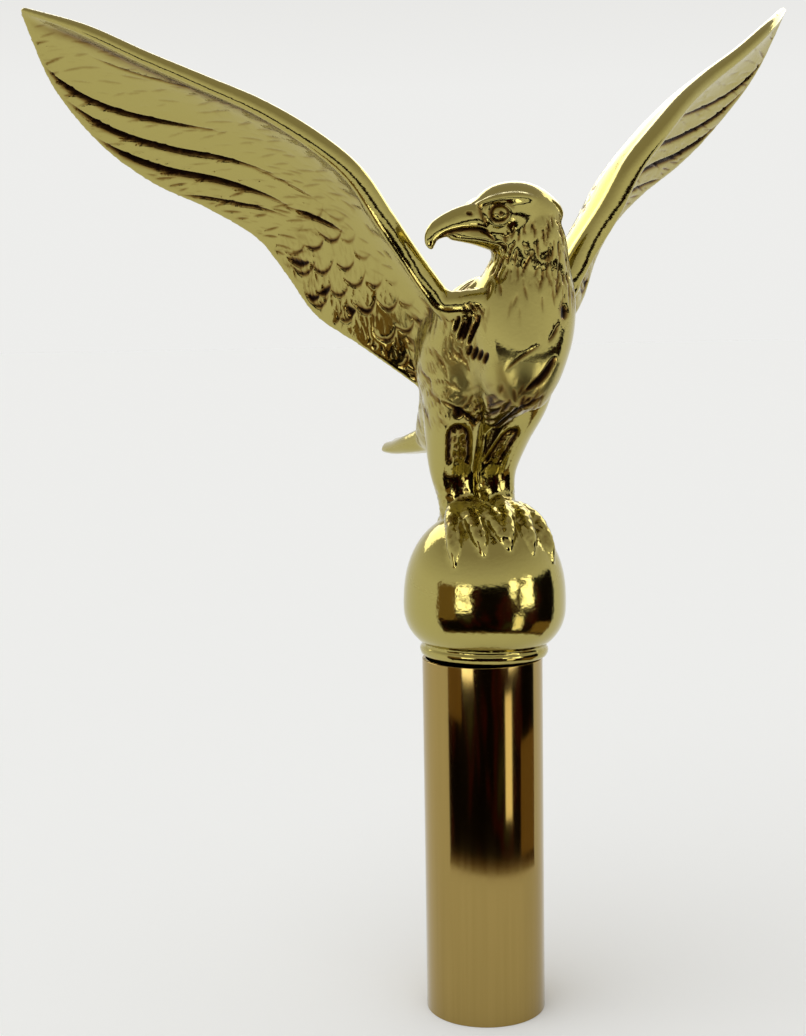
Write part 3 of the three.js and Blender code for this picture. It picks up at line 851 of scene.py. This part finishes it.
# The crease that bounds the belly, pointed between the thighs
BELLY_CREASE = [
    at(-13.9, -16, 28.1),
    at(-9.7, -18, 25.6),
    at(-3.3, -18, 22),
    at(0.8, -22, 25.9),
    at(6.3, -24, 29.5),
]


def breast_relief(points, normals):
    """Cuts beside the breast, streaks under the shoulder roll and ruffled feathers on the belly."""
    front = (-0.34, -0.94, 0)
    height = np.zeros(len(points))
    for forward, line, width, depth in BREAST_CUTS:
        height += cut(points, normals, [at(x, forward, z) for x, z in line], width, depth, front)
    for x, z, length in UNDER_ROLL:
        line = [at(x + 0.16 * length, -22, z + length / 2), at(x - 0.2 * length, -22, z - length / 2)]
        height += cut(points, normals, line, 0.42, 0.75, front)
    height += cut(points, normals, BELLY_CREASE, 0.4, 0.6, front)
    height += cut(points, normals, [at(-10.6, -16, 26.4), at(-9.2, -16, 24.4)], 0.9, 0.8, front)
    off = points - at(-1.6, -20, 27.6)
    low = np.exp(-((np.hypot(off[:, 0] * 0.7, off[:, 2]) / 4.6) ** 4)) * (normals[:, 1] < -0.1)
    ruffle = strokes(off[:, 2], off[:, 0], (2.6, 1.8), (3.2, 0.36), 15, 111, spread=40)
    height -= low * (0.1 + 0.3 * ruffle + 0.12 * grain(points, 1.2))
    # Sparse small feathers where the neck runs out on the breast
    start, full, thinning, gone = (at(0, 0, z)[2] for z in (42, 52, 58, 61))
    up_breast = smooth(points[:, 2], start, full) * (1 - smooth(points[:, 2], thinning, gone))
    middle = at(4, -19, 0)
    in_front = (normals[:, 1] < -0.25) * (points[:, 1] < middle[1])
    in_front = in_front * (np.abs(points[:, 0] - middle[0]) < 11)
    marks = strokes(points[:, 2], points[:, 0], (3.6, 2.3), (3.8, 0.26), 10, 121, spread=22, keep=0.5)
    return height - 0.24 * up_breast * in_front * marks


def snapped(points):
    """Points close to the turned ball and collar put back on their exact outline."""
    outline = np.concatenate([collar_outline(), ball_outline(240)[1:]])
    radius = np.hypot(points[:, 0], points[:, 1])
    low, high = LIP_Z - 0.2, ball_top + 0.3
    near = np.where((points[:, 2] > low) & (points[:, 2] < high) & (radius < BALL_RADIUS + 0.5))[0]
    spot = np.stack([radius[near], points[near, 2]], -1)
    a, b = outline[:-1], outline[1:]
    way = b - a
    best = np.full(len(near), 1e9)
    target = spot.copy()
    for start, step in zip(a, way):
        share = np.clip(((spot - start) @ step) / (step @ step), 0, 1)
        foot = start + share[:, None] * step
        gap = np.linalg.norm(spot - foot, axis=1)
        closer = gap < best
        best[closer] = gap[closer]
        target[closer] = foot[closer]
    share = 1 - smooth(best, 0.15, 0.45)
    wanted = spot + (target - spot) * share[:, None]
    scale = wanted[:, 0] / np.maximum(spot[:, 0], 1e-6)
    points[near, 0] *= scale
    points[near, 1] *= scale
    points[near, 2] = wanted[:, 1]
    return points


def store(mesh, points):
    mesh.vertices.foreach_set("co", points.astype(np.float32).ravel())
    mesh.update()


def mark(mesh, name, values):
    """A share from 0 to 1 at each vertex, for the material to read."""
    mesh.attributes.new(name, "FLOAT", "POINT").data.foreach_set("value", values.astype(np.float32))


# Where the buffing wheel reached least, as centre, reach in mm and weight: belly, right flank, root of the
# right wing and neck
SATIN_PATCHES = [
    (at(0.6, -24, 33), (10, 12, 7.5), 1.0),
    (at(-9.5, -15, 35), (7, 11, 13), 0.75),
    (at(-20, -8, 44), (13, 12, 11), 0.5),
    (at(6, -17, 60), (10, 10, 5), 0.35),
]


def satin_share(points):
    """How satin the metal was left at each point."""
    share = np.zeros(len(points))
    for centre, reach, weight in SATIN_PATCHES:
        off = np.linalg.norm((points - centre) / reach, axis=1)
        share = np.maximum(share, weight * (1 - smooth(off, 0.6, 1.1)))
    return share


def in_row_frame(points):
    """Lean and slip of the casting in the tube, then metres in the row frame."""
    lean = math.radians(CASTING_LEAN)
    c, s = math.cos(lean), math.sin(lean)
    pivot = np.array([0, 0, TUBE_LENGTH])
    moved = (points - pivot) @ np.array([[c, 0, s], [0, 1, 0], [-s, 0, c]]).T + pivot
    return (moved + np.array([CASTING_SLIP, 0, 0]) + np.array(ROW_SHIFT)) / 1000


def bare_forms():
    """The closed skins that make up the casting, before they are joined."""
    yield stand()
    yield body(torso_stations, rings=110, around=90)
    yield body(breast_stations)
    yield from head()
    yield tail()
    for hand in (-1, 1):
        yield wing(hand)
        yield leg(hand)
        yield shoulder_roll(hand)
        for aside, heading in TOES:
            yield toe(hand, aside, heading, TOE_REACH)
        yield toe(hand, 0, HIND_TOE, HIND_REACH)


def dressed_casting():
    """The casting as one mesh: forms joined, creases filled as a casting's are, carved, and thinned."""
    casting = mesh_object("eagle_casting_dressed", bare_forms())
    mesh = applied(casting, "REMESH", mode="VOXEL", voxel_size=VOXEL)
    edges = edges_of(mesh)
    points = relaxed(vertices_of(mesh), edges, FILLET_PASSES)
    for hand in (-1, 1):
        points = softened(points, edges, at(hand * 16.4, -6.5, 41.5), (9, 12, 10.5), ROOT_PASSES)
        points = softened(points, edges, at(hand * 9.6 + 1, -17, 36), (6, 10, 12), ROOT_PASSES)
    points = snapped(points)
    store(mesh, points)
    normals = normals_of(mesh)
    relief = wing_relief(points) + torso_relief(points)
    for carved in (head_relief, leg_relief, breast_relief):
        relief += carved(points, normals)
    store(mesh, points + normals * relief[:, None])
    # Depth of each cut as a share, which the material reads for painted shade in the cuts and for roughness
    mark(mesh, "recess_shade", np.clip(-relief / RECESS_DEPTH, 0, 1))
    mark(mesh, "satin", satin_share(points))
    store(mesh, in_row_frame(vertices_of(mesh)))
    faces = sum(len(p.vertices) - 2 for p in mesh.polygons)
    if faces > TRIANGLES:
        mesh = applied(casting, "DECIMATE", ratio=TRIANGLES / faces)
    mesh.polygons.foreach_set("use_smooth", np.ones(len(mesh.polygons), bool))
    return casting


casting = dressed_casting()
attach(casting, "root")
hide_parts("eagle_casting")


def linear(colour):
    """sRGB hex colour as linear red, green, blue and alpha."""
    parts = [int(colour[i : i + 2], 16) / 255 for i in (1, 3, 5)]
    return [p / 12.92 if p <= 0.04045 else ((p + 0.055) / 1.055) ** 2.4 for p in parts] + [1]


def add(tree, kind, links=None, **settings):
    """A node with its settings, input values and links."""
    node = tree.nodes.new(kind)
    for key, value in settings.items():
        setattr(node, key, value)
    for key, value in (links or {}).items():
        if isinstance(value, bpy.types.NodeSocket):
            tree.links.new(value, node.inputs[key])
        else:
            node.inputs[key].default_value = value
    return node


# Patterns in the metal, mm: blotches of the casting's skin, and width and length of the drawing lines
CAST_GRAIN = 0.8
DRAWN_WIDTH, DRAWN_LENGTH = 1.25, 62.5


def polished_cast_brass():
    """Cast brass, plated or lacquered and buffed: pale greenish gold, duller in its cuts, where painted
    shade turns the colour brown and then near black with depth.
    """
    material = bpy.data.materials.new("polished_cast_brass")
    material.use_nodes = True
    tree = material.node_tree
    shader = tree.nodes["Principled BSDF"]
    recess_shade = add(tree, "ShaderNodeAttribute", attribute_name="recess_shade")
    place = add(tree, "ShaderNodeTexCoord")
    # Grain of the casting's skin that the buffing wheel left: it roughens the edges of the reflections
    grain = add(
        tree,
        "ShaderNodeTexNoise",
        {"Vector": place.outputs["Object"], "Scale": 1000 / CAST_GRAIN, "Detail": 2},
    )
    # Painted shade: the base colour runs from pale gold through brown to near black as the cut deepens
    tint = add(tree, "ShaderNodeValToRGB", {"Fac": recess_shade.outputs["Fac"]})
    tint.color_ramp.elements[0].color = linear("#b0a45f")
    tint.color_ramp.elements[1].color = linear("#160b05")
    tint.color_ramp.elements.new(0.4).color = linear("#7d6430")
    tint.color_ramp.elements.new(0.72).color = linear("#38230f")
    rough = add(
        tree,
        "ShaderNodeMapRange",
        {"Value": recess_shade.outputs["Fac"], "From Min": 0, "From Max": 1, "To Min": 0.1, "To Max": 0.3},
    )
    satin = add(tree, "ShaderNodeAttribute", attribute_name="satin")
    dulled = add(
        tree,
        "ShaderNodeMath",
        {0: satin.outputs["Fac"], 1: SATIN_ROUGHNESS, 2: rough.outputs["Result"]},
        operation="MULTIPLY_ADD",
    )
    bump = add(
        tree,
        "ShaderNodeBump",
        {"Height": grain.outputs["Fac"], "Strength": 0.1, "Distance": 0.0003},
    )
    tree.links.new(tint.outputs["Color"], shader.inputs["Base Color"])
    tree.links.new(dulled.outputs["Value"], shader.inputs["Roughness"])
    tree.links.new(bump.outputs["Normal"], shader.inputs["Normal"])
    shader.inputs["Metallic"].default_value = 1
    return material


def drawn_tube_brass():
    """Drawn brass tube, buffed: browner than the casting, with faint streaks along its length."""
    material = bpy.data.materials.new("drawn_tube_brass")
    material.use_nodes = True
    tree = material.node_tree
    shader = tree.nodes["Principled BSDF"]
    place = add(tree, "ShaderNodeTexCoord")
    # Real drawing lines are finer than the render can show, so these are drawn coarser
    across, along = 1000 / DRAWN_WIDTH, 1000 / DRAWN_LENGTH
    stretch = add(
        tree,
        "ShaderNodeMapping",
        {"Vector": place.outputs["Object"], "Scale": (across, across, along)},
    )
    lines = add(tree, "ShaderNodeTexNoise", {"Vector": stretch.outputs["Vector"], "Scale": 1, "Detail": 3})
    tint = add(
        tree,
        "ShaderNodeMix",
        {"Factor": lines.outputs["Fac"], "A": linear("#9a844b"), "B": linear("#ad9457")},
        data_type="RGBA",
    )
    rough = add(
        tree,
        "ShaderNodeMapRange",
        {"Value": lines.outputs["Fac"], "From Min": 0.3, "From Max": 0.7, "To Min": 0.08, "To Max": 0.13},
    )
    tree.links.new(tint.outputs["Result"], shader.inputs["Base Color"])
    tree.links.new(rough.outputs["Result"], shader.inputs["Roughness"])
    shader.inputs["Metallic"].default_value = 1
    return material


casting.data.materials.clear()
casting.data.materials.append(polished_cast_brass())

# Sizes that the ferrule is turned to, mm
FERRULE_SIZES = {
    "Mid radius": (TUBE_RADIUS + BORE_RADIUS) / 2,
    "Wall": TUBE_RADIUS - BORE_RADIUS,
    "Length": TUBE_LENGTH,
    "Edge": TUBE_EDGE,
}


def ferrule_tree():
    """The wall's rounded section carried round the bore, for any wall, length and edge."""
    tree = bpy.data.node_groups.new("ferrule_turning", "GeometryNodeTree")
    sockets = {}
    for name, value in FERRULE_SIZES.items():
        socket = tree.interface.new_socket(name, in_out="INPUT", socket_type="NodeSocketFloat")
        socket.default_value = value / 1000
        sockets[name] = socket.identifier
    tree.interface.new_socket("Geometry", in_out="OUTPUT", socket_type="NodeSocketGeometry")
    size = add(tree, "NodeGroupInput").outputs
    path = add(tree, "GeometryNodeCurvePrimitiveCircle", {"Resolution": 144, "Radius": size["Mid radius"]})
    wall = add(
        tree,
        "GeometryNodeCurvePrimitiveQuadrilateral",
        {"Width": size["Wall"], "Height": size["Length"]},
    )
    section = add(
        tree,
        "GeometryNodeFilletCurve",
        {"Curve": wall.outputs["Curve"], "Radius": size["Edge"], "Count": 3},
        mode="POLY",
    )
    skin_node = add(
        tree,
        "GeometryNodeCurveToMesh",
        {"Curve": path.outputs["Curve"], "Profile Curve": section.outputs["Curve"]},
    )
    half = add(tree, "ShaderNodeMath", {0: size["Length"], 1: 0.5}, operation="MULTIPLY")
    lift = add(tree, "ShaderNodeCombineXYZ", {"Z": half.outputs["Value"]})
    raised = add(
        tree,
        "GeometryNodeTransform",
        {"Geometry": skin_node.outputs["Mesh"], "Translation": lift.outputs["Vector"]},
    )
    real = add(tree, "GeometryNodeRealizeInstances", {"Geometry": raised.outputs["Geometry"]})
    coat = add(tree, "GeometryNodeSetMaterial", {"Geometry": real.outputs["Geometry"]})
    coat.inputs["Material"].default_value = drawn_tube_brass()
    add(tree, "NodeGroupOutput", {"Geometry": coat.outputs["Geometry"]})
    return tree, sockets


def ferrule_tube():
    """Ferrule: the same tube with finer turning than the solid's, its edges rounded."""
    made = bpy.data.objects.new("ferrule_tube", bpy.data.meshes.new("ferrule_bare"))
    bpy.context.scene.collection.objects.link(made)
    turning = made.modifiers.new("turning", "NODES")
    turning.node_group, sockets = ferrule_tree()
    for name, value in FERRULE_SIZES.items():
        turning[sockets[name]] = value / 1000
    graph = bpy.context.evaluated_depsgraph_get()
    mesh = bpy.data.meshes.new_from_object(made.evaluated_get(graph))
    made.modifiers.remove(turning)
    made.data = mesh
    mesh.transform(Matrix.Translation(Vector(ROW_SHIFT) / 1000))
    sides = [abs(face.normal.z) < 0.5 for face in mesh.polygons]
    mesh.polygons.foreach_set("use_smooth", sides)
    return made


tube = ferrule_tube()
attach(tube, "root")
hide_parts("ferrule")


def plain(name, colour, strength=0.0):
    """Matt surface of one colour, which may glow."""
    material = bpy.data.materials.new(name)
    material.use_nodes = True
    shader = material.node_tree.nodes["Principled BSDF"]
    shader.inputs["Base Color"].default_value = linear(colour)
    shader.inputs["Roughness"].default_value = 1
    shader.inputs["Specular IOR Level"].default_value = 0
    shader.inputs["Emission Color"].default_value = linear(colour)
    shader.inputs["Emission Strength"].default_value = strength
    return material


# Pale floor, a little cool so that it looks as white as the walls under the warm ceiling
floor_mesh = bpy.data.meshes.new("floor")
floor_mesh.from_pydata([(-30, -30, 0), (30, -30, 0), (30, 30, 0), (-30, 30, 0)], [], [(0, 1, 2, 3)])
floor_mesh.materials.append(plain("pale_paper", "#f8fbfd"))
floor = bpy.data.objects.new("floor", floor_mesh)
bpy.context.scene.collection.objects.link(floor)

world = bpy.data.worlds.new("studio")
world.use_nodes = True
bpy.context.scene.world = world
# White walls round the object and a dimmer ceiling
sky = world.node_tree
direction = add(sky, "ShaderNodeTexCoord")
split = add(sky, "ShaderNodeSeparateXYZ", {"Vector": direction.outputs["Generated"]})
rise = add(
    sky,
    "ShaderNodeMapRange",
    {"Value": split.outputs["Z"], "From Min": 0.15, "From Max": 0.75, "To Min": 0, "To Max": 1},
)
shade = add(
    sky,
    "ShaderNodeMix",
    {"Factor": rise.outputs["Result"], "A": linear("#f4f4f2"), "B": linear("#b4aea6")},
    data_type="RGBA",
)
sky.links.new(shade.outputs["Result"], sky.nodes["Background"].inputs["Color"])
sky.nodes["Background"].inputs["Strength"].default_value = 0.94
bpy.context.scene.view_settings.view_transform = "Standard"

# Dark cards and lamps round the front, low down, and a lamp high behind, which only the polished metal sees
FRONT = math.radians(-110)  # the camera's side, turned from the X axis
CARD_LEFT, CARD_RIGHT = -62, 104  # degrees to either side of that
FAR_CARD, FAR_TOP = 0.40, 0.178  # distance and top of the far card, metres
FLOOR_CARD = 0.108  # where the card on the floor starts; it runs up to the near card
NEAR_CARD, NEAR_TOP = 0.13, 0.124
BROWN_END, BROWN_FOOT = -35, 0.062  # the near card is brown to the left of that angle, above that height


def out_from(angle, distance, height):
    """A point at that angle in degrees from the front, in metres."""
    spot = FRONT + math.radians(angle)
    return (math.cos(spot) * distance, math.sin(spot) * distance, height)


def strip(name, left, right, low, high, material):
    """Upright or flat strip round the front; low and high are (distance, height) of its two edges."""
    steps, points = 24, []
    for i in range(steps + 1):
        angle = mix(left, right, i / steps)
        points += [out_from(angle, *low), out_from(angle, *high)]
    mesh = bpy.data.meshes.new(name)
    mesh.from_pydata(points, [], [(2 * i, 2 * i + 1, 2 * i + 3, 2 * i + 2) for i in range(steps)])
    mesh.materials.append(material)
    made = bpy.data.objects.new(name, mesh)
    bpy.context.scene.collection.objects.link(made)
    made.visible_camera = False
    made.visible_diffuse = False
    made.visible_shadow = False
    return made


def patchy(name, size, colours, strength):
    """Glow in soft patches about size metres across, from the first colour to the last."""
    material = plain(name, "#000000", strength)
    tree = material.node_tree
    place = add(tree, "ShaderNodeTexCoord")
    cloud = add(
        tree,
        "ShaderNodeTexNoise",
        {"Vector": place.outputs["Object"], "Scale": 1 / size, "Detail": 1.5},
    )
    ramp = add(tree, "ShaderNodeValToRGB", {"Fac": cloud.outputs["Fac"]})
    ramp.color_ramp.elements[0].position = colours[0][0]
    ramp.color_ramp.elements[0].color = linear(colours[0][1])
    ramp.color_ramp.elements[1].position = colours[-1][0]
    ramp.color_ramp.elements[1].color = linear(colours[-1][1])
    for position, colour in colours[1:-1]:
        ramp.color_ramp.elements.new(position).color = linear(colour)
    tree.links.new(ramp.outputs["Color"], tree.nodes["Principled BSDF"].inputs["Emission Color"])
    return material


def fading(name, colours):
    """Glow by distance from the object in metres, each entry a distance and its colour."""
    material = plain(name, "#000000", 1.0)
    tree = material.node_tree
    place = add(tree, "ShaderNodeTexCoord")
    distance = add(tree, "ShaderNodeVectorMath", {0: place.outputs["Object"]}, operation="LENGTH")
    near, far = colours[0][0], colours[-1][0]
    share = add(
        tree,
        "ShaderNodeMapRange",
        {"Value": distance.outputs["Value"], "From Min": near, "From Max": far},
    )
    ramp = add(tree, "ShaderNodeValToRGB", {"Fac": share.outputs["Result"]})
    ramp.color_ramp.elements[0].color = linear(colours[0][1])
    ramp.color_ramp.elements[1].color = linear(colours[-1][1])
    for metres, colour in colours[1:-1]:
        ramp.color_ramp.elements.new((metres - near) / (far - near)).color = linear(colour)
    tree.links.new(ramp.outputs["Color"], tree.nodes["Principled BSDF"].inputs["Emission Color"])
    return material


dark_colours = [(0.5, "#120a07"), (0.58, "#4a120c"), (0.64, "#241a10"), (0.75, "#5c5a38")]
dark_card = patchy("dark_card", 0.05, dark_colours, 0.6)
lamp_glass = patchy("lamp_glass", 0.022, [(0.38, "#2a2014"), (0.47, "#fffdf6"), (0.9, "#ffffff")], 3.6)
floor_card = fading("floor_card", [(FLOOR_CARD, "#a8987c"), (0.12, "#5c4428"), (NEAR_CARD, "#1c110b")])
brown_card = plain("brown_card", "#6b5532", 0.9)
warm_glow = plain("warm_glow", "#fff6e0", 1.1)
back_glow = plain("back_glow", "#fffdf4", 2.0)
low_line, lamp_line, glint_line = NEAR_CARD - 0.002, NEAR_CARD - 0.004, NEAR_CARD - 0.006
strip("far_card", CARD_LEFT, CARD_RIGHT, (FAR_CARD, 0.1), (FAR_CARD, FAR_TOP), dark_card)
strip("floor_card", CARD_LEFT, CARD_RIGHT, (FLOOR_CARD, 0.001), (NEAR_CARD, 0.001), floor_card)
strip("near_card", BROWN_END, CARD_RIGHT, (NEAR_CARD, 0), (NEAR_CARD, NEAR_TOP), dark_card)
strip("near_card_low", CARD_LEFT, BROWN_END, (NEAR_CARD, 0), (NEAR_CARD, BROWN_FOOT), dark_card)
strip("brown_card", CARD_LEFT, BROWN_END, (NEAR_CARD, BROWN_FOOT), (NEAR_CARD, NEAR_TOP), brown_card)
strip("brown_card_low", 70, CARD_RIGHT, (low_line, 0), (low_line, 0.05), brown_card)
strip("left_lamp", -34, -14, (lamp_line, 0.082), (lamp_line, 0.122), lamp_glass)
strip("right_lamp", 34, 66, (lamp_line, 0.084), (lamp_line, 0.13), lamp_glass)
strip("back_light", 120, 240, (0.5, 0.3), (0.5, 0.6), back_glow)
strip("tube_glint", 40, 52, (glint_line, 0.02), (glint_line, 0.074), warm_glow)

lamp = bpy.data.lights.new("overhead_box", "SUN")
lamp.angle, lamp.energy = math.radians(70), 1.3
overhead = bpy.data.objects.new("overhead_box", lamp)
overhead.location = (-0.5, -0.3, 1.4)
overhead.rotation_euler = (Vector((0, 0, 0.1)) - overhead.location).to_track_quat("-Z", "Y").to_euler()
overhead.visible_camera = False
overhead.visible_glossy = False
bpy.context.scene.collection.objects.link(overhead)

# Camera, at the photograph's angle: degrees, and mm from the ferrule's axis
CAMERA_AZIMUTH, CAMERA_DISTANCE, CAMERA_HEIGHT = -20, 357.1, 153.6
CAMERA_ASIDE, CAMERA_DOWN, CAMERA_ROLL = 2.80, 6.40, -0.93
FRAME_HEIGHT, FOCAL_LENGTH = 1036, 1600  # in the photograph's pixels
SENSOR = 24

azimuth = math.radians(CAMERA_AZIMUTH)
place = Vector((math.sin(azimuth) * CAMERA_DISTANCE, -math.cos(azimuth) * CAMERA_DISTANCE, CAMERA_HEIGHT))
look = math.atan2(-place.y, -place.x) + math.radians(CAMERA_ASIDE)
pitch = math.radians(CAMERA_DOWN)
view = Vector((math.cos(look) * math.cos(pitch), math.sin(look) * math.cos(pitch), -math.sin(pitch)))
level = view.cross(Vector((0, 0, 1))).normalized()
upright = level.cross(view)
roll = math.radians(CAMERA_ROLL)
right = level * math.cos(roll) + upright * math.sin(roll)
up = upright * math.cos(roll) - level * math.sin(roll)
camera_data = bpy.data.cameras.new("camera")
camera_data.sensor_fit = "VERTICAL"
camera_data.sensor_height = SENSOR
camera_data.lens = SENSOR * FOCAL_LENGTH / FRAME_HEIGHT
camera_data.clip_start = 0.01
camera = bpy.data.objects.new("camera", camera_data)
facing = Matrix((right, up, -view)).transposed().to_4x4()
camera.matrix_world = Matrix.Translation((place + Vector(ROW_SHIFT)) / 1000) @ facing
bpy.context.scene.collection.objects.link(camera)
bpy.context.scene.camera = camera
